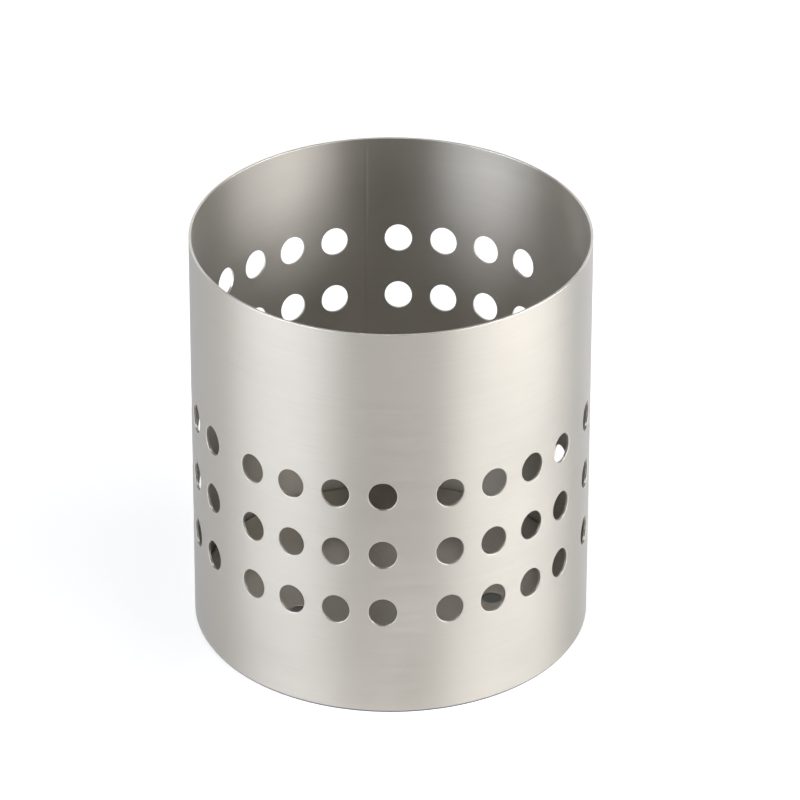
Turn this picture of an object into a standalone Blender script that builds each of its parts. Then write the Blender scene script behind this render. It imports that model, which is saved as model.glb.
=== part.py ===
"""Cutlery holder: a punched and rolled steel wall, a pressed floor pan inside it and a soft ring under both.

Metres, +Z up along the middle of the holder. The origin is the middle of its underside. The front, at -Y, looks
at the plain strip between two groups of holes, and the wall's seam is at the back, at +Y.
"""

import math

import bmesh
import bpy
from mathutils import Vector

# Overall size
HOLDER_DIAMETER = 0.1200
HOLDER_HEIGHT = 0.1307

# Wall: punched sheet, rolled
WALL_THICKNESS = 0.0008
HOLE_WIDTH = 0.0085
HOLE_HEIGHT = 0.0094
HOLE_GROUPS = 6
HOLE_COLUMNS = 4
HOLE_SIDES = 16
HOLE_ROWS = 4
GROUP_SPACING = 0.0059
ROW_PITCH = 0.0201
FULL_HEIGHT_GROUPS = 2
ROWS_LEFT_OUT_IN_FRONT = 1

# Floor pan: pressed disc with a skirt turned down
PAN_THICKNESS = 0.0008
FLOOR_HEIGHT = 0.0080
PAN_CORNER_RADIUS = 0.0025
DRAIN_HOLE_DIAMETER = 0.0060
DRAIN_CIRCLE_DIAMETER = 0.0640
DRAIN_HOLES_ON_CIRCLE = 8

# Foot ring: L section, its web under the steel and its upstand inside the skirt
RING_WEB = 0.0005
RING_RECESS = 0.0005
RING_HEIGHT = 0.0045
RING_UPSTAND = 0.0018

# Clearance between touching pieces, and how far a cutter runs past what it cuts
CLEARANCE = 0.0003
OVERRUN = 0.0010

# Faceting
TURNED_SEGMENTS = 72
DRAIN_HOLE_SEGMENTS = 16
CORNER_STEPS = 4
SHARP_ANGLE = math.radians(30)

# Sizes that follow from the ones above
WALL_RADIUS = HOLDER_DIAMETER / 2
WALL_BOTTOM = RING_WEB + CLEARANCE
PAN_RADIUS = WALL_RADIUS - WALL_THICKNESS - CLEARANCE
RING_UPSTAND_RADIUS = PAN_RADIUS - PAN_THICKNESS - CLEARANCE
GROUP_ANGLE = math.tau / HOLE_GROUPS
SPACING_ANGLE = GROUP_SPACING / WALL_RADIUS
COLUMN_ANGLE = (GROUP_ANGLE - SPACING_ANGLE) / HOLE_COLUMNS
LOWEST_ROW_HEIGHT = (WALL_BOTTOM + HOLDER_HEIGHT - (HOLE_ROWS - 1) * ROW_PITCH) / 2

# The sheet's grid: a hole's cell has as many grid steps along each side as a quarter of its hole has sides
CELL_STEPS = HOLE_SIDES // 4
SPACING_STEPS = 2


def material(name, colour, roughness, metallic):
    """Makes a plain surface with one colour, roughness and metallic value."""
    surface = bpy.data.materials.new(name)
    surface.use_nodes = True
    shader = surface.node_tree.nodes["Principled BSDF"]
    shader.inputs["Base Color"].default_value = (*colour, 1)
    shader.inputs["Roughness"].default_value = roughness
    shader.inputs["Metallic"].default_value = metallic
    return surface


def add_piece(name, bm, surface):
    """Puts a finished bmesh in the scene as a named object, smooth but for its sharp edges."""
    bmesh.ops.recalc_face_normals(bm, faces=bm.faces)
    mesh = bpy.data.meshes.new(name)
    bm.to_mesh(mesh)
    bm.free()
    mesh.shade_smooth()
    mesh.set_sharp_from_angle(angle=SHARP_ANGLE)
    mesh.materials.append(surface)
    piece = bpy.data.objects.new(name, mesh)
    bpy.context.scene.collection.objects.link(piece)
    return piece


def on_wall(angle, height):
    """Gives the point on the outside of the rolled wall. The angle is counted from the front, towards +X."""
    return Vector((WALL_RADIUS * math.sin(angle), -WALL_RADIUS * math.cos(angle), height))


def hole_rows(group):
    """Says how many rows of holes a group has. Only the groups next to the seam have the top row."""
    steps_from_seam = abs(group - (HOLE_GROUPS - 1) / 2)
    if steps_from_seam < FULL_HEIGHT_GROUPS / 2:
        return HOLE_ROWS
    return HOLE_ROWS - ROWS_LEFT_OUT_IN_FRONT


def grid_angles():
    """Lists the angles of the sheet's upright grid lines, from the front once round."""
    angles = []
    for group in range(HOLE_GROUPS):
        start = group * GROUP_ANGLE
        angles += [start, start + SPACING_ANGLE / 2]
        first_cell = start + SPACING_ANGLE / 2
        for step in range(1, HOLE_COLUMNS * CELL_STEPS):
            angles.append(first_cell + step * COLUMN_ANGLE / CELL_STEPS)
        angles.append(first_cell + HOLE_COLUMNS * COLUMN_ANGLE)
    return angles


def grid_heights():
    """Lists the heights of the sheet's level grid lines, from its lower edge to its rim."""
    first_cell = LOWEST_ROW_HEIGHT - ROW_PITCH / 2
    cell_lines = [first_cell + step * ROW_PITCH / CELL_STEPS for step in range(HOLE_ROWS * CELL_STEPS + 1)]
    return [WALL_BOTTOM, *cell_lines, HOLDER_HEIGHT]


def punch_cell(bm, lines, column, row, centre):
    """Fills one cell of the grid with a face round an oval hole.

    The cell's rim is walked from the middle of its right side, and the hole's points are spaced evenly in angle,
    so each point of the rim has its own point on the hole.
    """
    half = CELL_STEPS // 2
    rim = [(column + CELL_STEPS, row + half + step) for step in range(half)]
    rim += [(column + CELL_STEPS - step, row + CELL_STEPS) for step in range(CELL_STEPS)]
    rim += [(column, row + CELL_STEPS - step) for step in range(CELL_STEPS)]
    rim += [(column + step, row) for step in range(CELL_STEPS)]
    rim += [(column + CELL_STEPS, row + step) for step in range(half)]
    centre_angle, centre_height = centre
    edge = []
    for side in range(HOLE_SIDES):
        turn = side * math.tau / HOLE_SIDES
        angle = centre_angle + HOLE_WIDTH / 2 * math.cos(turn) / WALL_RADIUS
        edge.append(bm.verts.new(on_wall(angle, centre_height + HOLE_HEIGHT / 2 * math.sin(turn))))
    for side in range(HOLE_SIDES):
        after = (side + 1) % HOLE_SIDES
        bm.faces.new((edge[side], lines(*rim[side]), lines(*rim[after]), edge[after]))


def punched_sheet(bm):
    """Lays out the outside face of the rolled sheet, with its holes left open."""
    angles = grid_angles()
    heights = grid_heights()
    corners = {}

    def lines(column, row):
        """Gives the corner where two grid lines cross, made when it is first asked for."""
        key = (column % len(angles), row)
        if key not in corners:
            corners[key] = bm.verts.new(on_wall(angles[key[0]], heights[row]))
        return corners[key]

    punched = set()
    steps_in_group = HOLE_COLUMNS * CELL_STEPS + SPACING_STEPS
    for group in range(HOLE_GROUPS):
        for hole_column in range(HOLE_COLUMNS):
            column = group * steps_in_group + 1 + hole_column * CELL_STEPS
            angle = angles[column] + COLUMN_ANGLE / 2
            for hole_row in range(hole_rows(group)):
                row = 1 + hole_row * CELL_STEPS
                punch_cell(bm, lines, column, row, (angle, LOWEST_ROW_HEIGHT + hole_row * ROW_PITCH))
                punched |= {(column + i, row + j) for i in range(CELL_STEPS) for j in range(CELL_STEPS)}
    for column in range(len(angles)):
        for row in range(len(heights) - 1):
            if (column, row) not in punched:
                bm.faces.new((lines(column, row), lines(column + 1, row),
                              lines(column + 1, row + 1), lines(column, row + 1)))


def give_thickness(bm, thickness):
    """Copies the sheet's face inwards by its thickness and closes every edge between the two faces."""
    edges = [edge for edge in bm.edges if edge.is_boundary]
    copied = bmesh.ops.duplicate(bm, geom=bm.verts[:] + bm.edges[:] + bm.faces[:])
    inner = copied["vert_map"]
    inner_radius_share = 1 - thickness / WALL_RADIUS
    for item in copied["geom"]:
        if isinstance(item, bmesh.types.BMVert):
            item.co.x *= inner_radius_share
            item.co.y *= inner_radius_share
    for edge in edges:
        first, second = edge.verts
        bm.faces.new((first, second, inner[second], inner[first]))


def build_wall(surface):
    """Builds the punched and rolled wall."""
    bm = bmesh.new()
    punched_sheet(bm)
    give_thickness(bm, WALL_THICKNESS)
    return add_piece("wall", bm, surface)


def turned(name, outline, surface):
    """Turns a closed outline of (radius, height) points about the Z axis. A point on the axis is a single vertex."""
    bm = bmesh.new()
    rings = []
    for radius, height in outline:
        if radius == 0:
            rings.append([bm.verts.new((0, 0, height))] * TURNED_SEGMENTS)
            continue
        rings.append([])
        for segment in range(TURNED_SEGMENTS):
            angle = segment * math.tau / TURNED_SEGMENTS
            rings[-1].append(bm.verts.new((radius * math.cos(angle), radius * math.sin(angle), height)))
    for ring, following in zip(rings, rings[1:] + rings[:1]):
        for segment in range(TURNED_SEGMENTS):
            after = (segment + 1) % TURNED_SEGMENTS
            corners = dict.fromkeys((ring[segment], ring[after], following[after], following[segment]))
            if len(corners) > 2:
                bm.faces.new(tuple(corners))
    return add_piece(name, bm, surface)


def corner(centre_radius, centre_height, radius):
    """Lists a quarter arc's points as (radius, height), from straight up to straight out."""
    points = []
    for step in range(CORNER_STEPS + 1):
        angle = math.pi / 2 * (1 - step / CORNER_STEPS)
        points.append((centre_radius + radius * math.cos(angle), centre_height + radius * math.sin(angle)))
    return points


def drain_cutter():
    """Builds the punch for the drain holes: one in the middle and a circle of them round it."""
    bm = bmesh.new()
    spots = [(0, 0)]
    for hole in range(DRAIN_HOLES_ON_CIRCLE):
        angle = (hole + 1 / 2) * math.tau / DRAIN_HOLES_ON_CIRCLE
        spots.append((DRAIN_CIRCLE_DIAMETER / 2 * math.cos(angle), DRAIN_CIRCLE_DIAMETER / 2 * math.sin(angle)))
    for x, y in spots:
        made = bmesh.ops.create_cone(
            bm, cap_ends=True, segments=DRAIN_HOLE_SEGMENTS, radius1=DRAIN_HOLE_DIAMETER / 2,
            radius2=DRAIN_HOLE_DIAMETER / 2, depth=PAN_THICKNESS + 2 * OVERRUN)
        bmesh.ops.translate(bm, verts=made["verts"], vec=(x, y, FLOOR_HEIGHT - PAN_THICKNESS / 2))
    mesh = bpy.data.meshes.new("drain_cutter")
    bm.to_mesh(mesh)
    bm.free()
    cutter = bpy.data.objects.new("drain_cutter", mesh)
    bpy.context.scene.collection.objects.link(cutter)
    cutter.hide_render = True
    cutter.display_type = "WIRE"
    return cutter


def build_floor_pan(surface):
    """Builds the pressed pan: a flat floor, a rounded corner, a skirt turned down, and punched drain holes."""
    bend_radius = PAN_RADIUS - PAN_CORNER_RADIUS
    bend_height = FLOOR_HEIGHT - PAN_CORNER_RADIUS
    upper = [(0, FLOOR_HEIGHT), *corner(bend_radius, bend_height, PAN_CORNER_RADIUS), (PAN_RADIUS, WALL_BOTTOM)]
    lower = [(0, FLOOR_HEIGHT - PAN_THICKNESS),
             *corner(bend_radius, bend_height, PAN_CORNER_RADIUS - PAN_THICKNESS),
             (PAN_RADIUS - PAN_THICKNESS, WALL_BOTTOM)]
    pan = turned("floor_pan", upper + lower[::-1], surface)
    punch = pan.modifiers.new("drain_holes", "BOOLEAN")
    punch.operation = "DIFFERENCE"
    punch.solver = "EXACT"
    punch.object = drain_cutter()
    return pan


def build_foot_ring(surface):
    """Builds the soft ring: a thin web under the steel edges and an upstand that grips the skirt from inside."""
    outline = [
        (WALL_RADIUS - RING_RECESS, 0),
        (WALL_RADIUS - RING_RECESS, RING_WEB),
        (RING_UPSTAND_RADIUS, RING_WEB),
        (RING_UPSTAND_RADIUS, RING_HEIGHT),
        (RING_UPSTAND_RADIUS - RING_UPSTAND, RING_HEIGHT),
        (RING_UPSTAND_RADIUS - RING_UPSTAND, 0),
    ]
    return turned("foot_ring", outline, surface)


def main():
    """Empties the scene and builds the holder's three pieces."""
    for item in list(bpy.data.objects):
        bpy.data.objects.remove(item)
    build_wall(material("satin_steel", (0.58, 0.56, 0.53), 0.32, 1.0))
    build_floor_pan(material("pressed_steel", (0.55, 0.53, 0.50), 0.38, 1.0))
    build_foot_ring(material("soft_grey_plastic", (0.12, 0.12, 0.12), 0.6, 0.0))


main()
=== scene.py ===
"""Cutlery holder: a punched steel cup, its pressed floor and its soft foot ring, dressed for a picture.

Metres, +Z up along the middle of the cup, -Y to the front. An angle round the cup is counted from the front
(-Y) towards +X, so the seam at the back is at half a turn.
"""

import logging
import math
from dataclasses import dataclass, field
from enum import Enum

import bpy
import numpy as np
from mathutils import Matrix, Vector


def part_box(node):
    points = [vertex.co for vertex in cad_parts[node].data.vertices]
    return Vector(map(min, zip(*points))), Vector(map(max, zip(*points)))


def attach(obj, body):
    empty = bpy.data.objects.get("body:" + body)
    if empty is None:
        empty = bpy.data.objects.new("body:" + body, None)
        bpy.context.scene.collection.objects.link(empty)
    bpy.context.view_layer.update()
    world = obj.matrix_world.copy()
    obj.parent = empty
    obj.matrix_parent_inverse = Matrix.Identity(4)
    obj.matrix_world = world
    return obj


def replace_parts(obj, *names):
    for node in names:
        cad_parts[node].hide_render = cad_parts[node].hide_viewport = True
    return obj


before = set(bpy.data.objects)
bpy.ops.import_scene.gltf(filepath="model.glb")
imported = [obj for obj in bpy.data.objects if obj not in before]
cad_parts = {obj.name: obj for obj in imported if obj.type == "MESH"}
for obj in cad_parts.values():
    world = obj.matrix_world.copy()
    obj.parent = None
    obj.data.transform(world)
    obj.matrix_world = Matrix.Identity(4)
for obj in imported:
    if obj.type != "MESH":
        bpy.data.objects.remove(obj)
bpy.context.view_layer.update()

MM = 0.001
BODY = "root"
log = logging.getLogger("cutlery_holder")

# What each mesh carries: its unrolled map, and its marks for edge wear, which on the wall also carries a
# painted highlight, and for the weld
SHEET_MAP = "sheet"
WEAR_AND_HIGHLIGHT = "wear_and_highlight"
SEAM = "seam"

# The map's side on the flat sheet, and the distance within which points become one
MAP_SIDE = 0.4
WELD_STEP = 0.001 * MM

# The middle range of a random pattern, which holds nearly all of it, and a wider one that softens it
MOST = (0.35, 0.65)
WIDE = (0.3, 0.7)

# The share of a grey's warmth that its green takes
GREEN_SHARE = 2 / 5

Span = tuple[float, float]
Colour = tuple[float, float, float, float]
Socket = bpy.types.NodeSocket
Value = float | Socket


class SheetSide(Enum):
    """The two faces of a sheet, with the sign of its outward direction and its row in the unrolled map."""

    OUTSIDE = (1, 0)
    INSIDE = (-1, 1)

    @property
    def sign(self) -> int:
        """Gives 1 where the face looks away from the middle of the cup, and -1 where it looks inwards."""
        return self.value[0]

    @property
    def row(self) -> int:
        """Gives the face's row in the unrolled map, so that the two faces don't lie on each other."""
        return self.value[1]


@dataclass
class Patches:
    """Pieces of surface gathered for one mesh, each a grid of points with everything a point carries."""

    grids: list[list[np.ndarray]] = field(default_factory=list)
    count: int = 0

    def add(self, points: np.ndarray, normals: np.ndarray, flat: np.ndarray, marks: np.ndarray,
            closed: bool = False) -> None:
        """Adds one grid, or a stack of grids, as quads between neighbouring points.

        Args:
            points: places, shape (..., rows, columns, 3).
            normals: outward directions, the same shape.
            flat: places in the unrolled map, shape (..., rows, columns, 2).
            marks: share of edge wear, which on the wall is partly a painted highlight, and of weld seam at
                each point, shape (..., rows, columns, 2).
            closed: whether the last column joins the first.
        """
        grid = self.count + np.arange(points[..., 0].size).reshape(points.shape[:-1])
        after = np.roll(grid, -1, axis=-1) if closed else grid[..., 1:]
        before = grid if closed else grid[..., :-1]
        faces = np.stack([before[..., :-1, :], after[..., :-1, :], after[..., 1:, :], before[..., 1:, :]], -1)
        parts = (points, normals, flat, marks, faces)
        self.grids.append([part.reshape(-1, part.shape[-1]) for part in parts])
        self.count = grid.max() + 1

    def mesh(self, name: str) -> bpy.types.Object:
        """Joins the grids into one closed mesh with its own smooth normals.

        Points at the same place, within a thousandth of a millimetre, become one. A quad whose corners run
        the wrong way round for its outward direction is turned over.

        Args:
            name: the piece's name.

        Returns:
            The finished object, at the origin.
        """
        points, normals, flat, marks, faces = (np.concatenate(part) for part in zip(*self.grids))
        corners = points[faces]
        facing = np.cross(corners[:, 2] - corners[:, 0], corners[:, 3] - corners[:, 1])
        wrong = np.einsum("ij,ij->i", facing, normals[faces].sum(axis=1)) < 0
        faces[wrong] = faces[wrong][:, ::-1]
        # A third of a step keeps places on whole steps, such as 0, clear of the rounding
        keys = np.floor(points / WELD_STEP + 1 / 3).astype(np.int64)
        _, first, welded = np.unique(keys, axis=0, return_index=True, return_inverse=True)
        welded = welded.reshape(-1)
        summed = np.zeros((len(first), 3))
        np.add.at(summed, welded, normals)
        summed /= np.linalg.norm(summed, axis=1, keepdims=True)
        data = bpy.data.meshes.new(name)
        data.from_pydata(points[first].tolist(), [], welded[faces].tolist())
        data.shade_smooth()
        layer = data.uv_layers.new(name=SHEET_MAP)
        layer.uv.foreach_set("vector", flat[faces].astype(np.float32).ravel())
        for column, mark in enumerate((WEAR_AND_HIGHLIGHT, SEAM)):
            attribute = data.attributes.new(mark, "FLOAT", "POINT")
            attribute.data.foreach_set("value", marks[first, column].astype(np.float32))
        data.normals_split_custom_set_from_vertices(summed.tolist())
        data.update()
        made = bpy.data.objects.new(name, data)
        bpy.context.scene.collection.objects.link(made)
        return made


def rounded_path(corners: list[Span], radii: list[float], steps: int,
                 closed: bool = False) -> tuple[np.ndarray, np.ndarray, np.ndarray]:
    """Rounds the corners of a path in a plane.

    Each corner becomes an arc that touches both of its sides: its middle lies off the corner by the radius
    along the first side's normal and by the radius times the tangent of half the turn back along that side.
    The normal turns evenly from one side's to the other's.

    Args:
        corners: the path's corners as (radius, height), with the material to the left of the way along it.
        radii: the arc's radius at each corner, 0 for the ends of an open path.
        steps: how many steps each arc has.
        closed: whether the path comes back to its start.

    Returns:
        The points, shape (n, 2), their outward normals, the same shape, and 1 on the arcs that bulge
        outwards and 0 elsewhere, shape (n,).
    """
    spots = np.array(corners)
    ways = np.roll(spots, -1, axis=0) - spots
    ways /= np.linalg.norm(ways, axis=1, keepdims=True)
    sides = np.stack([ways[:, 1], -ways[:, 0]], axis=1)
    points, normals, arcs = [], [], []
    for index, radius in enumerate(radii):
        if radius == 0:
            points.append(spots[index:index + 1])
            normals.append(sides[index:index + 1] if index == 0 else sides[index - 1:index])
            arcs.append(np.zeros(1))
            continue
        way_in, side_in, side_out = ways[index - 1], sides[index - 1], sides[index]
        turn = math.atan2(side_in[0] * side_out[1] - side_in[1] * side_out[0], side_in @ side_out)
        bulge = math.copysign(radius, turn)
        middle = spots[index] - way_in * radius * math.tan(abs(turn) / 2) - side_in * bulge
        angles = math.atan2(side_in[1], side_in[0]) + turn * np.linspace(0, 1, steps + 1)
        around = np.stack([np.cos(angles), np.sin(angles)], axis=1)
        points.append(middle + bulge * around)
        normals.append(around)
        arcs.append(np.full(steps + 1, 1.0 if turn > 0 else 0.0))
    if closed:
        for parts in (points, normals, arcs):
            parts.append(parts[0][:1])
    return np.concatenate(points), np.concatenate(normals), np.concatenate(arcs)


def radial(angles: np.ndarray) -> np.ndarray:
    """Gives the level direction away from the middle at each angle round the cup: (sin, -cos, 0)."""
    return np.stack([np.sin(angles), -np.cos(angles), np.zeros_like(angles)], axis=-1)


def tangent(angles: np.ndarray) -> np.ndarray:
    """Gives the level direction round the cup at each angle: (cos, sin, 0)."""
    return np.stack([np.cos(angles), np.sin(angles), np.zeros_like(angles)], axis=-1)


def rectangle_path(steps: int) -> np.ndarray:
    """Walks round a square from the middle of its right side, counter-clockwise.

    Args:
        steps: how many steps each side has, an even number.

    Returns:
        The places on the square from -1 to 1, shape (4 * steps, 2).
    """
    side = np.linspace(-1, 1, steps + 1)[:-1]
    one = np.ones(steps)
    whole = np.concatenate([np.stack([one, side], 1), np.stack([-side, one], 1),
                            np.stack([-one, -side], 1), np.stack([side, -one], 1)])
    return np.roll(whole, -steps // 2, axis=0)


def oval_path(steps: int) -> np.ndarray:
    """Walks round a circle of radius 1 in as many points as rectangle_path, evenly in angle."""
    turns = np.arange(4 * steps) * math.tau / (4 * steps)
    return np.stack([np.cos(turns), np.sin(turns)], axis=1)


@dataclass(frozen=True)
class Stretch:
    """A stretch of flat sheet, or a stack of stretches, each a grid of points.

    Attributes:
        places: places on the sheet, shape (..., rows, columns, 2).
        unrolled: the same with rounded edges laid flat too, for the map.
        normals: two parts along the sheet and one off its outside face, shape (..., rows, columns, 3).
        depth: depths under that face, shape (..., rows, columns).
        wear_and_highlight: shares of edge wear, which on the wall also paint a highlight, the same shape.
    """

    places: np.ndarray
    unrolled: np.ndarray
    normals: np.ndarray
    depth: np.ndarray
    wear_and_highlight: np.ndarray


@dataclass(frozen=True)
class HoleEdge:
    """The section of a punched hole's edge: rolled over on the punch's side, lightly deburred on the other.

    Attributes:
        roll_width: how far from the hole the rolled edge starts.
        roll_depth: how deep the rolled edge goes into the sheet.
        deburr: size of the small round edge on the other side.
        wear: the bore's share of edge wear, which on the wall also paints a highlight.
        steps: steps in each rounding.
        flat_rings: rings on the flat, from the cell's rim to the rounding.
    """

    roll_width: float = 0.30 * MM
    roll_depth: float = 0.16 * MM
    deburr: float = 0.10 * MM
    wear: float = 0.6
    steps: int = 4
    flat_rings: int = 3

    def rounding(self, width: float, depth: float) -> np.ndarray:
        """Gives a quarter of an ellipse from the sheet's face to the hole's bore.

        The distance from the bore is width times 1 less the sine, and the depth is depth times 1 less the
        cosine. The normal has depth times the sine towards the hole and width times the cosine off the sheet.

        Args:
            width: the rounding's size along the sheet.
            depth: the rounding's size into the sheet.

        Returns:
            Each step's distance from the bore, depth, normal towards the hole, normal off the sheet and wear.
        """
        turn = np.linspace(0, math.pi / 2, self.steps + 1)
        towards, off = depth * np.sin(turn), width * np.cos(turn)
        length = np.hypot(towards, off)
        return np.stack([width * (1 - np.sin(turn)), depth * (1 - np.cos(turn)),
                         towards / length, off / length, self.wear * np.sin(turn) ** 2], axis=1)

    def rings(self, side: SheetSide, thickness: float, rim: np.ndarray, hole: np.ndarray,
              out: np.ndarray) -> Stretch:
        """Lays rings from a cell's rim over the hole's edge and, on the rolled side, through the bore.

        The rings on the flat blend the rim with the start of the rounding. Then the section is carried round
        the hole: a place is the hole's outline plus the way out times the distance from the bore.

        Args:
            side: OUTSIDE for the rolled side and INSIDE for the deburred one.
            thickness: the sheet's thickness.
            rim: the cell's rim, shape (..., columns, 2).
            hole: the hole's outline, the same shape.
            out: directions away from the hole, the same shape or one for all holes.

        Returns:
            The rings, one a row.
        """
        if side is SheetSide.OUTSIDE:
            section = self.rounding(self.roll_width, self.roll_depth)
            bore = section[-1].copy()
            bore[1] = thickness - self.deburr
            section = np.vstack([section, bore])
        else:
            section = self.rounding(self.deburr, self.deburr)
        distance, depth = section.T[:2, :, None, None]
        blend = np.linspace(0, 1, self.flat_rings + 1)[:-1, None, None]
        rim, hole, out = rim[..., None, :, :], hole[..., None, :, :], out[..., None, :, :]
        plain = rim * (1 - blend) + (hole + out * distance[0]) * blend
        places = np.concatenate([plain, hole + out * distance], axis=-3)
        unrolled = np.concatenate([plain, hole + out * (distance - depth)], axis=-3)
        # The rings on the flat have no depth and no wear, and face off the sheet
        flat = np.tile([0.0, 0.0, 0.0, 1.0, 0.0], (self.flat_rings, 1))
        _, depth, towards, off, wear_and_highlight = np.vstack([flat, section]).T[..., None]
        shape = places.shape[:-1]
        normals = np.concatenate([np.broadcast_to(-out * towards[..., None], places.shape),
                                  np.broadcast_to(off * side.sign, shape)[..., None]], axis=-1)
        under = depth if side is SheetSide.OUTSIDE else thickness - depth
        return Stretch(places, unrolled, normals, np.broadcast_to(under, shape), np.broadcast_to(wear_and_highlight, shape))


@dataclass
class PunchedWall:
    """The wall: one sheet, punched, rolled and welded at the back.

    Sizes along the sheet are measured on its outside face, and spacing is the plain strip between groups. The
    groups next to the seam have all rows, and the others lack the top one.
    """

    thickness: float = 0.8 * MM
    hole_width: float = 8.5 * MM
    hole_height: float = 9.4 * MM
    groups: int = 6
    columns: int = 4
    rows: int = 4
    spacing: float = 5.9 * MM
    row_pitch: float = 20.1 * MM
    full_height_groups: int = 2
    cell_steps: int = 12
    band_steps: int = 6
    rim_rounding: float = 0.22 * MM
    rim_steps: int = 4
    bead_half_width: float = 0.8 * MM
    bead_height: float = 0.03 * MM
    bead_steps: int = 5
    bead_fade: float = 1.5 * MM
    edge: HoleEdge = HoleEdge()
    patches: Patches = field(default_factory=Patches)

    def __post_init__(self) -> None:
        """Takes the wall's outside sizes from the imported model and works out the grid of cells."""
        low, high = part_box("wall")
        self.radius = (high.x - low.x) / 2
        self.bottom = low.z
        self.top = high.z
        self.group_width = math.tau * self.radius / self.groups
        self.cell_width = (self.group_width - self.spacing) / self.columns
        self.lowest_row = (self.bottom + self.top - (self.rows - 1) * self.row_pitch) / 2

    def rows_in(self, group: int) -> int:
        """Says how many rows of holes a group has."""
        steps_from_seam = abs(group - (self.groups - 1) / 2)
        return self.rows if steps_from_seam < self.full_height_groups / 2 else self.rows - 1

    def bead(self, along: np.ndarray, height: np.ndarray) -> tuple[np.ndarray, np.ndarray, np.ndarray]:
        """Gives the ground weld bead: a raised cosine across the seam, which fades out at the sheet's ends.

        Args:
            along: places round the sheet from the front.
            height: heights of the same places.

        Returns:
            How far the bead stands proud, its slope along the sheet, and its share from 0 to 1.
        """
        across = (along - math.pi * self.radius) / self.bead_half_width
        inside = np.abs(across) < 1
        ends = np.minimum(height - self.bottom, self.top - height) - self.rim_rounding
        fade = np.clip(ends / self.bead_fade, 0, 1)
        share = np.where(inside, (1 + np.cos(math.pi * across)) / 2, 0) * fade
        slope = np.where(inside, -np.sin(math.pi * across) * math.pi / 2, 0) * fade
        return self.bead_height * share, self.bead_height * slope / self.bead_half_width, share

    def roll(self, side: SheetSide, sheet: Stretch, closed: bool = False) -> None:
        """Rolls a stretch of flat sheet up into the wall and adds it.

        The angle is the place along the sheet over the outside radius, and the distance from the middle is
        that radius less the depth. A normal keeps its part along the sheet as the direction round the cup,
        its part up the sheet as +Z, and its part off the sheet as the direction away from the middle.

        Args:
            side: the face that the stretch belongs to.
            sheet: the stretch, with its places as the way round from the front and the height.
            closed: whether its last column joins the first.
        """
        along, height = np.moveaxis(sheet.places, -1, 0)
        proud, slope, seam = self.bead(along, height)
        angles = along / self.radius
        points = radial(angles) * (self.radius - sheet.depth + proud * side.sign)[..., None]
        points[..., 2] = height
        level, upright, off = np.moveaxis(sheet.normals, -1, 0)
        level = level - slope * off * side.sign
        normals = tangent(angles) * level[..., None] + radial(angles) * off[..., None]
        normals[..., 2] = upright
        # The map starts and ends at the seam, so each half of the sheet moves by half a turn
        around, up = np.moveaxis(sheet.unrolled, -1, 0)
        half_turn = math.pi * self.radius
        around = around + np.where(around[..., :1] < half_turn - WELD_STEP, half_turn, -half_turn)
        flat = np.stack([around, up + side.row * MAP_SIDE / 2], axis=-1) / MAP_SIDE
        self.patches.add(points, normals, flat, np.stack([sheet.wear_and_highlight, seam], axis=-1), closed)

    def face(self, side: SheetSide, along: np.ndarray, height: np.ndarray) -> None:
        """Adds a plain stretch of the sheet's face between grid lines.

        Args:
            side: the face.
            along: places of the upright grid lines.
            height: heights of the level grid lines.
        """
        places = np.stack(np.meshgrid(along, height), axis=-1)
        depth = np.full(places.shape[:-1], 0.0 if side is SheetSide.OUTSIDE else self.thickness)
        normals = np.zeros((*depth.shape, 3))
        normals[..., 2] = side.sign
        self.roll(side, Stretch(places, places, normals, depth, np.zeros_like(depth)))

    def holes(self, centres: np.ndarray) -> None:
        """Adds the cells of punched holes: rectangles with an oval in them, ringed along the oval's normal.

        Args:
            centres: middles of the holes on the flat sheet, shape (n, 2).
        """
        half_cell = np.array([self.cell_width, self.row_pitch]) / 2
        half_hole = np.array([self.hole_width, self.hole_height]) / 2
        circle = oval_path(self.cell_steps)
        rim = centres[:, None] + rectangle_path(self.cell_steps) * half_cell
        oval = centres[:, None] + circle * half_hole
        out = circle / half_hole
        out /= np.linalg.norm(out, axis=1, keepdims=True)
        for side in SheetSide:
            self.roll(side, self.edge.rings(side, self.thickness, rim, oval, out), closed=True)

    def rims(self, along: np.ndarray) -> None:
        """Adds the sheet's cut upper and lower edges: a section of two small arcs carried round.

        Args:
            along: places of the upright grid lines.
        """
        inner = self.radius - self.thickness
        size = self.rim_rounding
        for end, outwards in ((self.top, 1), (self.bottom, -1)):
            start = end - outwards * size
            corners = [(self.radius, start), (self.radius, end), (inner, end), (inner, start)]
            path, ways, _ = rounded_path(corners, [0, size, size, 0], self.rim_steps)
            places = np.stack(np.meshgrid(along, path[1:-1, 1]), axis=-1)
            depth = np.broadcast_to(self.radius - path[1:-1, :1], places.shape[:-1])
            unrolled = places.copy()
            unrolled[..., 1] += outwards * depth
            # The lower path runs with the material to its right, so its normals are turned over
            normals = np.zeros((*depth.shape, 3))
            normals[..., 1:] = outwards * ways[1:-1, None, ::-1]
            self.roll(SheetSide.OUTSIDE, Stretch(places, unrolled, normals, depth, np.ones_like(depth)))

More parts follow.
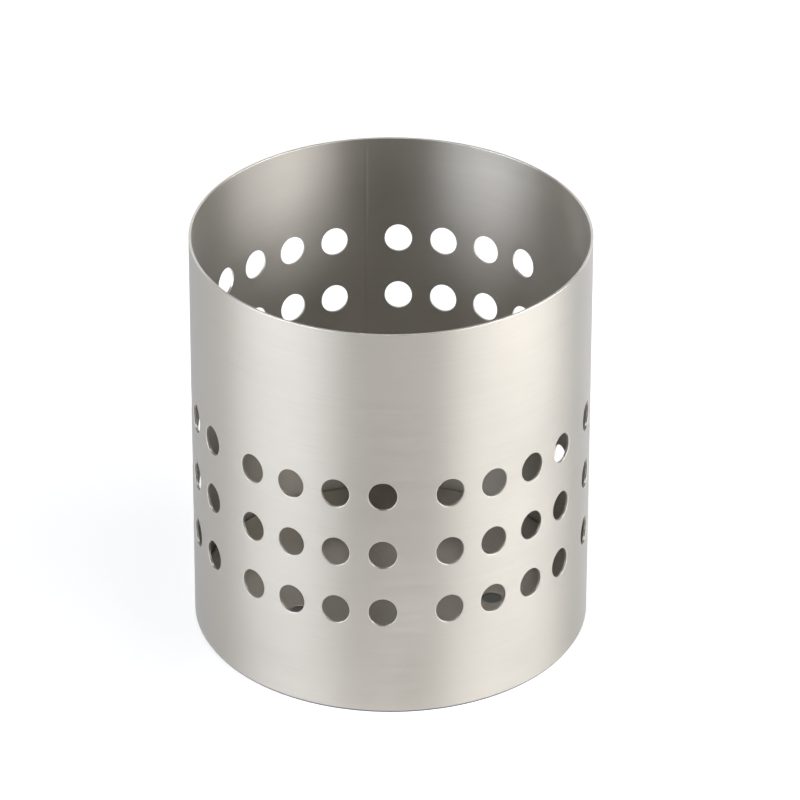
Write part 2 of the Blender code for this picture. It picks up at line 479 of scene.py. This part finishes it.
    def build(self) -> bpy.types.Object:
        """Builds the whole wall, one group of holes at a time.

        Returns:
            The wall's object.
        """
        first_cell = self.lowest_row - self.row_pitch / 2
        cell_lines = first_cell + np.linspace(0, self.rows * self.row_pitch, self.rows * self.cell_steps + 1)
        under = np.linspace(self.bottom + self.rim_rounding, first_cell, self.band_steps + 1)
        over = np.linspace(cell_lines[-1], self.top - self.rim_rounding, self.band_steps + 1)
        lines = np.concatenate([under[:-1], cell_lines, over[1:]])
        strip = np.append(np.linspace(0, self.bead_half_width, self.bead_steps + 1), self.spacing / 2)
        for group in range(self.groups):
            start = group * self.group_width
            cells = start + self.spacing / 2 + np.linspace(
                0, self.columns * self.cell_width, self.columns * self.cell_steps + 1)
            left, right = start + strip, start + self.group_width - strip[::-1]
            punched = self.rows_in(group)
            clear = lines[self.band_steps + punched * self.cell_steps:]
            for side in SheetSide:
                self.face(side, left, lines)
                self.face(side, right, lines)
                self.face(side, cells, under)
                self.face(side, cells, clear)
            columns = start + self.spacing / 2 + (np.arange(self.columns) + 0.5) * self.cell_width
            heights = self.lowest_row + np.arange(punched) * self.row_pitch
            self.holes(np.stack(np.meshgrid(columns, heights), axis=-1).reshape(-1, 2))
            self.rims(np.concatenate([left[:-1], cells, right[1:]]))
        made = self.patches.mesh("wall_sheet")
        SatinSteel().dress(made)
        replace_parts(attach(made, BODY), "wall")
        return made


@dataclass
class Turned:
    """A round piece whose section is carried once round the middle of the cup, in a number of columns."""

    columns: int = 192
    patches: Patches = field(default_factory=Patches)

    def spin(self, path: np.ndarray, normals: np.ndarray, wear_and_highlight: np.ndarray) -> None:
        """Carries a section round: the way away from the middle times its radius, and its height as it is.

        Args:
            path: the section as (radius, height), shape (n, 2).
            normals: its outward normals, the same shape.
            wear_and_highlight: its share of edge wear, shape (n,).
        """
        angles = np.linspace(0, math.tau, self.columns + 1)
        away = radial(angles)
        points = away[None] * path[:, :1, None]
        points[..., 2] = path[:, 1:]
        leaning = away[None] * normals[:, :1, None]
        leaning[..., 2] = normals[:, 1:]
        length = np.concatenate([[0], np.cumsum(np.linalg.norm(np.diff(path, axis=0), axis=1))])
        shape = points.shape[:2]
        flat = np.stack([np.broadcast_to(angles * path[:, 0].max(), shape),
                         np.broadcast_to(length[:, None], shape)], axis=-1) / MAP_SIDE
        marks = np.stack([np.broadcast_to(wear_and_highlight[:, None], shape), np.zeros(shape)], axis=-1)
        self.patches.add(points, leaning, flat, marks)


@dataclass
class FloorPan(Turned):
    """The pressed floor: a flat disc with drain holes, a rounded corner and a skirt turned down.

    The cells of the outer drain holes lie between the radii cell_from and cell_to. The upper face's middle
    is at map_middle in the unrolled map, and the lower face's half a map further.
    """

    columns: int = 96
    thickness: float = 0.8 * MM
    corner_radius: float = 2.5 * MM
    drain_diameter: float = 6.0 * MM
    drain_circle: float = 64.0 * MM
    drain_count: int = 8
    cell_from: float = 22.0 * MM
    cell_to: float = 42.0 * MM
    cell_steps: int = 12
    corner_steps: int = 8
    skirt_rounding: float = 0.15 * MM
    map_middle: Span = (0.25, 0.75)
    edge: HoleEdge = HoleEdge(roll_width=0.35 * MM, roll_depth=0.18 * MM)

    def __post_init__(self) -> None:
        """Takes the pan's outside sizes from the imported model."""
        low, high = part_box("floor_pan")
        self.radius = (high.x - low.x) / 2
        self.bottom = low.z
        self.top = high.z

    def lay(self, side: SheetSide, rim: np.ndarray, hole: np.ndarray, out: np.ndarray) -> None:
        """Adds level surface between a rim and a hole, or between several at once.

        Args:
            side: OUTSIDE for the upper face, which also has the bore, and INSIDE for the lower one.
            rim: the rim, shape (..., columns, 2).
            hole: the hole's outline, the same shape.
            out: directions away from the hole, the same shape.
        """
        rings = self.edge.rings(side, self.thickness, rim, hole, out)
        points = np.concatenate([rings.places, self.top - rings.depth[..., None]], axis=-1)
        flat = rings.unrolled / MAP_SIDE + self.map_middle
        flat[..., 0] += side.row / 2
        marks = np.stack([rings.wear_and_highlight, np.zeros_like(rings.wear_and_highlight)], axis=-1)
        self.patches.add(points, rings.normals, flat, marks, closed=True)

    def drains(self, side: SheetSide) -> None:
        """Adds one face of the drilled floor: cells round the outer holes and a disc round the middle one.

        A cell is a sector of a ring, so its rim is a rectangle of angle and radius. The disc has the same
        steps as the cells' inner sides.

        Args:
            side: OUTSIDE for the upper face and INSIDE for the lower one.
        """
        hole = self.drain_diameter / 2
        middles = (np.arange(self.drain_count) + 0.5) * math.tau / self.drain_count
        square = rectangle_path(self.cell_steps)
        angles = middles[:, None] + square[:, 0] * math.pi / self.drain_count
        reach = (self.cell_from + self.cell_to) / 2 + square[:, 1] * (self.cell_to - self.cell_from) / 2
        around, away = tangent(middles)[:, None, :2], radial(middles)[:, None, :2]
        circle = oval_path(self.cell_steps)
        out = around * circle[:, :1] + away * circle[:, 1:]
        rim = radial(angles)[..., :2] * reach[:, None]
        self.lay(side, rim, away * self.drain_circle / 2 + out * hole, out)
        out = radial(np.arange(self.columns) * math.tau / self.columns)[:, :2]
        self.lay(side, out * self.cell_from, out * hole, out)

    def build(self) -> bpy.types.Object:
        """Builds the pan.

        Returns:
            The pan's object.
        """
        for side in SheetSide:
            self.drains(side)
        inner, under = self.radius - self.thickness, self.top - self.thickness
        corners = [(self.cell_to, under), (inner, under), (inner, self.bottom), (self.radius, self.bottom),
                   (self.radius, self.top), (self.cell_to, self.top)]
        path, normals, bulging = rounded_path(
            corners, [0, self.corner_radius - self.thickness, self.skirt_rounding, self.skirt_rounding,
                      self.corner_radius, 0], self.corner_steps)
        # Only the skirt's lower edge is worn, and not the large corner
        self.spin(path, normals, bulging * (path[:, 1] < under - self.corner_radius))
        made = self.patches.mesh("floor_sheet")
        PressedSteel().dress(made)
        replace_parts(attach(made, BODY), "floor_pan")
        return made


@dataclass
class FootRing(Turned):
    """The soft ring: a thin web under the steel edges and an upstand that grips the skirt from inside."""

    web: float = 0.5 * MM
    upstand: float = 1.8 * MM
    upstand_radius: float = 57.8 * MM
    outer_rounding: float = 0.18 * MM
    top_rounding: float = 0.5 * MM
    root_rounding: float = 0.2 * MM
    corner_steps: int = 5

    def build(self) -> bpy.types.Object:
        """Builds the ring.

        Returns:
            The ring's object.
        """
        low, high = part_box("foot_ring")
        reach, top = (high.x - low.x) / 2, high.z
        inner = self.upstand_radius - self.upstand
        corners = [(inner, 0), (reach, 0), (reach, self.web), (self.upstand_radius, self.web),
                   (self.upstand_radius, top), (inner, top)]
        path, normals, bulging = rounded_path(
            corners, [self.outer_rounding, self.outer_rounding, self.outer_rounding, self.root_rounding,
                      self.top_rounding, self.top_rounding], self.corner_steps, closed=True)
        self.spin(path, normals, bulging)
        made = self.patches.mesh("soft_foot_ring")
        SoftRing().dress(made)
        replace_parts(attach(made, BODY), "foot_ring")
        return made


class Recipe:
    """A tree of nodes, put together one at a time."""

    def __init__(self, tree: bpy.types.NodeTree) -> None:
        """Starts with the nodes that the tree has."""
        self.tree = tree

    def feed(self, sockets: object, values: dict[str | int, object]) -> None:
        """Links sockets to others or sets their own values.

        Args:
            sockets: the sockets by name or number.
            values: what each of them gets.
        """
        for key, value in values.items():
            if isinstance(value, Socket):
                self.tree.links.new(value, sockets[key])
            else:
                sockets[key].default_value = value

    def add(self, kind: str, inputs: dict[str | int, object], **settings: object) -> bpy.types.Node:
        """Adds a node.

        Args:
            kind: Blender's name for the node.
            inputs: what its inputs get, by name or number.
            **settings: its own options by name.

        Returns:
            The node.
        """
        node = self.tree.nodes.new(kind)
        for name, value in settings.items():
            setattr(node, name, value)
        self.feed(node.inputs, inputs)
        return node

    def math(self, operation: str, *numbers: Value) -> Socket:
        """Adds an operation on one or two numbers, by Blender's name for it."""
        return self.add("ShaderNodeMath", dict(enumerate(numbers)), operation=operation).outputs[0]

    def plus(self, first: Value, second: Value) -> Socket:
        """Adds two numbers."""
        return self.math("ADD", first, second)

    def less(self, first: Value, second: Value) -> Socket:
        """Takes the second number from the first."""
        return self.math("SUBTRACT", first, second)

    def times(self, first: Value, second: Value) -> Socket:
        """Multiplies two numbers."""
        return self.math("MULTIPLY", first, second)

    def larger(self, first: Value, second: Value) -> Socket:
        """Gives the larger of two numbers."""
        return self.math("MAXIMUM", first, second)

    def blend(self, first: Value, second: Value, share: float) -> Socket:
        """Adds the first number times its share and the second times the rest."""
        return self.plus(self.times(first, share), self.times(second, 1 - share))

    def length(self, across: Value, along: Value) -> Socket:
        """Gives the length of a way in a plane: the root of the sum of the squares."""
        return self.math("SQRT", self.plus(self.times(across, across), self.times(along, along)))

    def split(self, vector: Socket) -> list[Socket]:
        """Gives the X, Y and Z of a place or a direction."""
        return list(self.add("ShaderNodeSeparateXYZ", {0: vector}).outputs)

    def between(self, value: Value, span: Span, results: Span = (0.0, 1.0)) -> Socket:
        """Maps a range of numbers smoothly to another, and holds its ends.

        Args:
            value: the number.
            span: the start and the end of its range.
            results: the results there.

        Returns:
            The result's socket.
        """
        ends = dict(zip(("From Min", "From Max", "To Min", "To Max"), (*span, *results)))
        inputs = {"Value": value, **ends}
        return self.add("ShaderNodeMapRange", inputs, interpolation_type="SMOOTHSTEP").outputs[0]


def grey(level: float, warmth: float = 0.0) -> Colour:
    """Gives an opaque grey, with its blue lowered by a share, its warmth, and its green by a part of it."""
    return (level, level * (1 - warmth * GREEN_SHARE), level * (1 - warmth), 1.0)


@dataclass(frozen=True)
class Pattern:
    """A smooth random pattern.

    Attributes:
        stretch: how often it changes in a metre, along X, Y and Z.
        detail: how many finer patterns lie on it.
        span: where a pattern of separate marks starts to show and where it shows in full.
    """

    stretch: tuple[float, float, float]
    detail: float = 2.0
    span: Span = MOST


class Coat(Recipe):
    """A material, put together round its Principled shader."""

    def __init__(self, name: str) -> None:
        """Starts a material with its shader and its places on the object.

        Args:
            name: the material's name.
        """
        self.material = bpy.data.materials.new(name)
        self.material.use_nodes = True
        super().__init__(self.material.node_tree)
        self.shader = self.tree.nodes["Principled BSDF"]
        self.place = self.add("ShaderNodeTexCoord", {}).outputs["Object"]

    def noise(self, pattern: Pattern, degrees: float = 0.0) -> Socket:
        """Adds a pattern on the object's places.

        Args:
            pattern: the pattern.
            degrees: how far the places are turned round Z before the pattern is laid.

        Returns:
            The pattern from 0 to 1, with most of it near the middle.
        """
        place = self.place
        if degrees:
            turn = {"Vector": place, "Angle": math.radians(degrees)}
            place = self.add("ShaderNodeVectorRotate", turn, rotation_type="Z_AXIS").outputs[0]
        scaled = self.add("ShaderNodeVectorMath", {0: place, 1: pattern.stretch}, operation="MULTIPLY")
        inputs = {"Vector": scaled.outputs[0], "Scale": 1.0, "Detail": pattern.detail}
        return self.add("ShaderNodeTexNoise", inputs).outputs[0]

    def spots(self, pattern: Pattern, degrees: float = 0.0) -> Socket:
        """Adds a pattern of separate marks, 0 between them and 1 on them."""
        return self.between(self.noise(pattern, degrees), pattern.span)

    def vary(self, pattern: Value, middle: float, spread: float) -> Socket:
        """Lets a pattern move a number up and down by a spread round its middle."""
        return self.between(pattern, WIDE, (middle - spread, middle + spread))

    def mark(self, name: str) -> Socket:
        """Reads one of the mesh's own marks, from 0 to 1."""
        return self.add("ShaderNodeAttribute", {}, attribute_name=name).outputs["Fac"]

    def mix(self, share: Value, first: Colour | Socket, second: Colour | Socket) -> Socket:
        """Mixes two colours.

        Args:
            share: the second colour's share.
            first: the first colour.
            second: the second colour.

        Returns:
            The mixed colour's socket.
        """
        node = self.add("ShaderNodeMix", {}, data_type="RGBA")
        # Its sockets for numbers and for colours share their names, so identifiers tell them apart
        sockets = {socket.identifier: socket for socket in (*node.inputs, *node.outputs)}
        self.feed(sockets, {"Factor_Float": share, "A_Color": first, "B_Color": second})
        return sockets["Result_Color"]

    def bump(self, height: Value, distance: float) -> None:
        """Makes the shader's surface rise and fall.

        Args:
            height: the pattern, from 0 to 1.
            distance: how far it rises.
        """
        bump = self.add("ShaderNodeBump", {"Strength": 1.0, "Distance": distance, "Height": height})
        self.set(Normal=bump.outputs[0])

    def set(self, **values: object) -> None:
        """Sets or links the shader's sockets, whose names are written with _ for spaces."""
        self.feed(self.shader.inputs, {name.replace("_", " "): value for name, value in values.items()})

    def dress(self, piece: bpy.types.Object) -> None:
        """Gives the material to a piece."""
        piece.data.materials.append(self.material)


@dataclass(frozen=True)
class SatinSteel:
    """Stainless steel brushed round the cup, with its edges polished where they were deburred and painted
    paler still as a highlight.

    The line share is the fine lines' part of the grain, and the broad ones have the rest. The grain share is
    the grain's part of the shade, and the clouds have the rest.
    """

    dark: Colour = grey(0.4992, 0.15)
    pale: Colour = grey(0.5408, 0.15)
    scratch: Colour = grey(0.4576, 0.15)
    # The edges' colour, paler than the ground partly for the polish and partly as a painted highlight on the
    # rims and hole edges
    edge: Colour = grey(0.74, 0.12)
    grazing_tint: Colour = grey(0.65, -0.20)
    grain_share: float = 0.6
    scratch_share: float = 0.35
    edge_share: float = 0.8
    fine_lines: Pattern = Pattern((40, 40, 4200), 3)
    broad_lines: Pattern = Pattern((12, 12, 900))
    line_share: float = 0.6
    clouds: Pattern = Pattern((28, 28, 20), 3)
    scratches: Pattern = Pattern((50, 50, 3200), span=(0.66, 0.76))
    grain_depth: float = 0.005 * MM
    roughness: float = 0.44
    grain_spread: float = 0.035
    cloud_spread: float = 0.03
    # What scratches and the weld add to the roughness, and what worn edges take off it
    mark_roughness: float = 0.10
    polish: float = 0.14
    # How far highlights are drawn out, and at what part of a turn from the lines
    brushing: float = 0.9
    highlight_turn: float = 0.25

    def dress(self, piece: bpy.types.Object) -> None:
        """Gives the finish: long fine lines, soft clouds, a few scratches and brighter edges, partly polish
        and partly a painted highlight.

        Args:
            piece: the piece, with its map and its marks.
        """
        coat = Coat("satin_steel")
        grain = coat.blend(coat.noise(self.fine_lines), coat.noise(self.broad_lines), self.line_share)
        clouds = coat.noise(self.clouds)
        scratches = coat.spots(self.scratches)
        wear_and_highlight = coat.mark(WEAR_AND_HIGHLIGHT)
        shade = coat.between(coat.blend(grain, clouds, self.grain_share), MOST)
        colour = coat.mix(shade, self.dark, self.pale)
        colour = coat.mix(coat.times(scratches, self.scratch_share), colour, self.scratch)
        # Edges turn paler, partly polish and partly a painted highlight on the rims and hole edges
        colour = coat.mix(coat.times(wear_and_highlight, self.edge_share), colour, self.edge)
        rough = coat.plus(coat.between(grain, MOST, (-self.grain_spread, self.grain_spread)),
                          coat.vary(clouds, self.roughness, self.cloud_spread))
        rough = coat.less(rough, coat.times(coat.times(wear_and_highlight, wear_and_highlight), self.polish))
        rough = coat.plus(rough, coat.times(coat.plus(coat.mark(SEAM), scratches), self.mark_roughness))
        along = coat.add("ShaderNodeTangent", {}, direction_type="UV_MAP", uv_map=SHEET_MAP)
        coat.set(Base_Color=colour, Metallic=1.0, Roughness=rough, Specular_Tint=self.grazing_tint,
                 Anisotropic=self.brushing, Anisotropic_Rotation=self.highlight_turn,
                 Tangent=along.outputs[0])
        coat.bump(grain, self.grain_depth)
        coat.dress(piece)


@dataclass(frozen=True)
class PressedSteel:
    """Plain rolled steel sheet, scuffed where things stand on it.

    Its marks are small dents, and long scuffs that cross at a few angles in degrees.
    """

    dark: Colour = grey(0.52, 0.15)
    pale: Colour = grey(0.58, 0.15)
    mark: Colour = grey(0.46, 0.15)
    edge: Colour = grey(0.70, 0.12)
    grazing_tint: Colour = grey(0.80)
    mark_share: float = 0.25
    edge_share: float = 0.7
    clouds: Pattern = Pattern((60, 60, 60), 4)
    pits: Pattern = Pattern((2600, 2600, 2600))
    dents: Pattern = Pattern((700, 700, 700), span=(0.63, 0.72))
    scuffs: Pattern = Pattern((60, 1300, 60), span=(0.66, 0.74))
    scuff_angles: tuple[float, ...] = (20, 75, 140)
    depth: float = 0.005 * MM
    roughness: float = 0.34
    cloud_spread: float = 0.04
    mark_roughness: float = 0.12

    def dress(self, piece: bpy.types.Object) -> None:
        """Gives the finish: a dull cloudy sheet with fine pits, dents and crossing scuffs.

        Args:
            piece: the piece, with its marks.
        """
        coat = Coat("pressed_steel")
        clouds = coat.noise(self.clouds)
        marks = coat.spots(self.dents)
        for degrees in self.scuff_angles:
            marks = coat.larger(marks, coat.spots(self.scuffs, degrees))
        colour = coat.mix(coat.between(clouds, MOST), self.dark, self.pale)
        colour = coat.mix(coat.times(marks, self.mark_share), colour, self.mark)
        colour = coat.mix(coat.times(coat.mark(WEAR_AND_HIGHLIGHT), self.edge_share), colour, self.edge)
        rough = coat.plus(coat.vary(clouds, self.roughness, self.cloud_spread),
                          coat.times(marks, self.mark_roughness))
        coat.set(Base_Color=colour, Metallic=1.0, Roughness=rough, Specular_Tint=self.grazing_tint)
        coat.bump(coat.less(coat.noise(self.pits), marks), self.depth)
        coat.dress(piece)


@dataclass(frozen=True)
class SoftRing:
    """Matt dark grey moulded plastic."""

    dark: Colour = grey(0.12, 0.02)
    pale: Colour = grey(0.16, 0.02)
    edge: Colour = grey(0.24, 0.02)
    edge_share: float = 0.4
    clouds: Pattern = Pattern((90, 90, 90), 3)
    stipple: Pattern = Pattern((3000, 3000, 3000), 3)
    stipple_depth: float = 0.03 * MM
    roughness: float = 0.62
    stipple_spread: float = 0.06

    def dress(self, piece: bpy.types.Object) -> None:
        """Gives the finish: a fine moulded stipple with a paler bloom where the ring rubs.

        Args:
            piece: the piece, with its marks.
        """
        coat = Coat("soft_ring")
        stipple = coat.noise(self.stipple)
        colour = coat.mix(coat.between(coat.noise(self.clouds), WIDE), self.dark, self.pale)
        colour = coat.mix(coat.times(coat.mark(WEAR_AND_HIGHLIGHT), self.edge_share), colour, self.edge)
        coat.set(Base_Color=colour, Roughness=coat.vary(stipple, self.roughness, self.stipple_spread))
        coat.bump(stipple, self.stipple_depth)
        coat.dress(piece)


@dataclass(frozen=True)
class PaleTable:
    """A matt table, lifted to white for what the camera sees, also in the steel, with painted light and shade
    in places that the steel reflects.

    Each step from one amount of lift to another is smooth, along Y or with the distance from the middle or
    from the tongue's root.

    Attributes:
        level: its own grey.
        lift: how much it is lifted, where 1 is white.
        foot_lift: the same at the foot, lower, so that it leaves more of the holder's shadow and paints the
            floor darker round the foot, also in the steel.
        foot_span: the distances over which the one turns into the other.
        front_share: the share of both in front of the holder, a painted shade that darkens the upper middle
            of the wall in the steel.
        front_span: where that share starts and where the whole comes back, along Y.
        far_lift: the lift far away, so that no horizon shows.
        far_span: the distances over which it is reached.
        tongue_lift: how much more a narrow tongue is lifted, right in front of the holder: a painted pool of
            light that the steel reflects as a brighter foot of the wall.
        tongue_from: where the tongue starts, along Y.
        tongue_length: how far it reaches.
        tongue_slimness: its length over half its width.
        covered_edge: how far under the foot ring the lift ends.
        covered_share: the share of it that is left under the holder, painted light where the floor lies in
            the holder's shade, seen through the drain holes.
    """

    level: float = 0.50
    lift: float = 0.68
    foot_lift: float = 0.58
    foot_span: Span = (0.07, 0.20)
    front_share: float = 0.8
    front_span: Span = (-0.16, 0.02)
    far_lift: float = 1.0
    far_span: Span = (0.3, 1.8)
    tongue_lift: float = 0.45
    tongue_from: float = -0.06
    tongue_length: float = 0.3
    tongue_slimness: float = 4.0
    covered_edge: float = 1.0 * MM
    covered_share: float = 0.06

    def dress(self, piece: bpy.types.Object) -> None:
        """Gives the table its finish.

        Args:
            piece: the table.
        """
        coat = Coat("table")
        rays = coat.add("ShaderNodeLightPath", {}).outputs
        mirrored = coat.larger(rays["Is Glossy Ray"], rays["Is Transmission Ray"])
        seen = coat.larger(rays["Is Camera Ray"], mirrored)
        across, along, _ = coat.split(coat.place)
        away = coat.length(across, along)
        # Less lift round the foot and in front is painted shade, which the steel reflects too
        near = coat.times(coat.between(away, self.foot_span, (self.foot_lift, self.lift)),
                          coat.between(along, self.front_span, (self.front_share, 1.0)))
        far = coat.between(away, self.far_span)
        lift = coat.plus(coat.times(near, coat.less(1.0, far)), coat.times(far, self.far_lift))
        # A tongue of painted light in front of the holder, which lightens the foot of the wall in the steel
        reach = coat.length(coat.times(across, self.tongue_slimness), coat.less(along, self.tongue_from))
        lift = coat.plus(lift, coat.between(reach, (0.0, self.tongue_length), (self.tongue_lift, 0.0)))
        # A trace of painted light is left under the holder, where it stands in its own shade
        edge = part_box("foot_ring")[1].x
        clear = coat.between(away, (edge - self.covered_edge, edge), (self.covered_share, 1.0))
        coat.set(Base_Color=grey(self.level), Roughness=1.0, Specular_IOR_Level=0.0,
                 Emission_Color=grey(1.0), Emission_Strength=coat.times(coat.times(seen, clear), lift))
        coat.dress(piece)


@dataclass(frozen=True)
class Viewpoint:
    """The camera, placed by the holder's outline and holes, with its lens and sensor in millimetres."""

    angle: float = math.radians(-7.4)
    away: float = 1.5943
    height: float = 1.0255
    pitch: float = math.radians(30.851)
    yaw: float = math.radians(0.099)
    roll: float = math.radians(0.094)
    lens: float = 277.59
    sensor: float = 36.0
    sight: float = 50.0

    def place(self) -> None:
        """Adds the camera: rolled, pitched down, then turned to face the holder."""
        data = bpy.data.cameras.new("camera")
        data.lens = self.lens
        data.sensor_width = self.sensor
        data.clip_end = self.sight
        camera = bpy.data.objects.new("camera", data)
        spot = radial(np.array(self.angle)) * self.away
        spot[2] = self.height
        turn = (Matrix.Rotation(self.angle - self.yaw, 4, "Z")
                @ Matrix.Rotation(math.pi / 2 - self.pitch, 4, "X") @ Matrix.Rotation(self.roll, 4, "Z"))
        camera.matrix_world = Matrix.Translation(spot.tolist()) @ turn
        bpy.context.scene.collection.objects.link(camera)
        bpy.context.scene.camera = camera


@dataclass(frozen=True)
class Softbox:
    """A lamp behind a soft screen that is brightest in its middle, where its glow is 1 for white.

    Its bearing is counted from the camera's side towards +X and its rise from the table up, both in degrees.
    """

    name: str
    bearing: float
    rise: float
    away: float
    width: float
    height: float
    glow: float
    warmth: float = 0.0

    def place(self, camera_angle: float) -> None:
        """Adds the lamp, facing the middle of the holder's foot.

        Across and up, the screen's brightness is 1 less the square of the distance from its middle line.

        Args:
            camera_angle: the camera's angle round the holder.
        """
        data = bpy.data.lights.new(self.name, "AREA")
        data.shape = "RECTANGLE"
        data.size = self.width
        data.size_y = self.height
        data.energy = self.glow * math.pi * self.width * self.height
        data.color = grey(1.0, self.warmth)[:3]
        data.use_nodes = True
        screen = Recipe(data.node_tree)
        falls = []
        place = screen.add("ShaderNodeNewGeometry", {}).outputs["Parametric"]
        for share in screen.split(place)[:2]:
            off = screen.less(screen.times(share, 2.0), 1.0)
            falls.append(screen.less(1.0, screen.times(off, off)))
        screen.feed(screen.tree.nodes["Emission"].inputs, {"Strength": screen.times(*falls)})
        lamp = bpy.data.objects.new(self.name, data)
        angle, rise = camera_angle + math.radians(self.bearing), math.radians(self.rise)
        spot = radial(np.array(angle)) * math.cos(rise) * self.away
        spot[2] = math.sin(rise) * self.away
        lamp.matrix_world = (Matrix.Translation(spot.tolist()) @ Matrix.Rotation(angle, 4, "Z")
                             @ Matrix.Rotation(math.pi / 2 - rise, 4, "X"))
        bpy.context.scene.collection.objects.link(lamp)


@dataclass(frozen=True)
class Studio:
    """A pale table in a white cove under a dimmer ceiling, with soft lamps at both sides, behind and above.

    The cove's brightness turns into the ceiling's over a span of the direction's height. Behind the holder
    the cove reaches higher, by its lean as a share of the direction's reach to the back.
    """

    table_size: float = 6.0
    cove: float = 1.0
    ceiling: float = 0.12
    cove_span: Span = (0.08, 0.22)
    cove_lean: float = 0.6
    lamps: tuple[Softbox, ...] = (
        Softbox("left_lamp", bearing=-59, rise=24, away=1.0, width=1.4, height=0.45, glow=8.2, warmth=-0.16),
        Softbox("right_lamp", bearing=69, rise=24, away=1.0, width=1.8, height=0.45, glow=10.1, warmth=-0.03),
        Softbox("back_lamp", bearing=135, rise=5, away=1.0, width=0.6, height=0.16, glow=5.0),
        Softbox("top_lamp", bearing=0, rise=88, away=1.6, width=1.0, height=1.0, glow=3.0),
    )

    def table(self) -> None:
        """Adds the table, a square at the height of the holder's underside."""
        half = self.table_size / 2
        corners = [(-half, -half, 0), (half, -half, 0), (half, half, 0), (-half, half, 0)]
        data = bpy.data.meshes.new("table")
        data.from_pydata(corners, [], [(0, 1, 2, 3)])
        table = bpy.data.objects.new("table", data)
        bpy.context.scene.collection.objects.link(table)
        PaleTable().dress(table)

    def room(self) -> None:
        """Adds the world: a white cove, low in front of the holder and high behind it, and a dim ceiling."""
        world = bpy.data.worlds.new("room")
        bpy.context.scene.world = world
        world.use_nodes = True
        recipe = Recipe(world.node_tree)
        _, back, up = recipe.split(recipe.add("ShaderNodeTexCoord", {}).outputs["Generated"])
        height = recipe.less(up, recipe.times(recipe.larger(back, 0.0), self.cove_lean))
        fade = recipe.between(height, self.cove_span, (self.cove, self.ceiling))
        recipe.feed(recipe.tree.nodes["Background"].inputs, {"Color": grey(1.0), "Strength": fade})

    def build(self, view: Viewpoint) -> None:
        """Adds the table, the room and the lamps.

        Args:
            view: the camera, from which the lamps' bearings are counted.
        """
        self.table()
        self.room()
        for lamp in self.lamps:
            lamp.place(view.angle)
        bpy.context.scene.view_settings.view_transform = "Standard"


def main() -> None:
    """Builds the holder piece by piece, then the studio round it."""
    logging.basicConfig(level=logging.INFO, format="%(name)s: %(message)s")
    view = Viewpoint()
    view.place()
    for part in (PunchedWall(), FloorPan(), FootRing()):
        made = part.build()
        log.info("%s: %d faces", made.name, len(made.data.polygons))
    Studio().build(view)


if __name__ == "__main__":
    main()
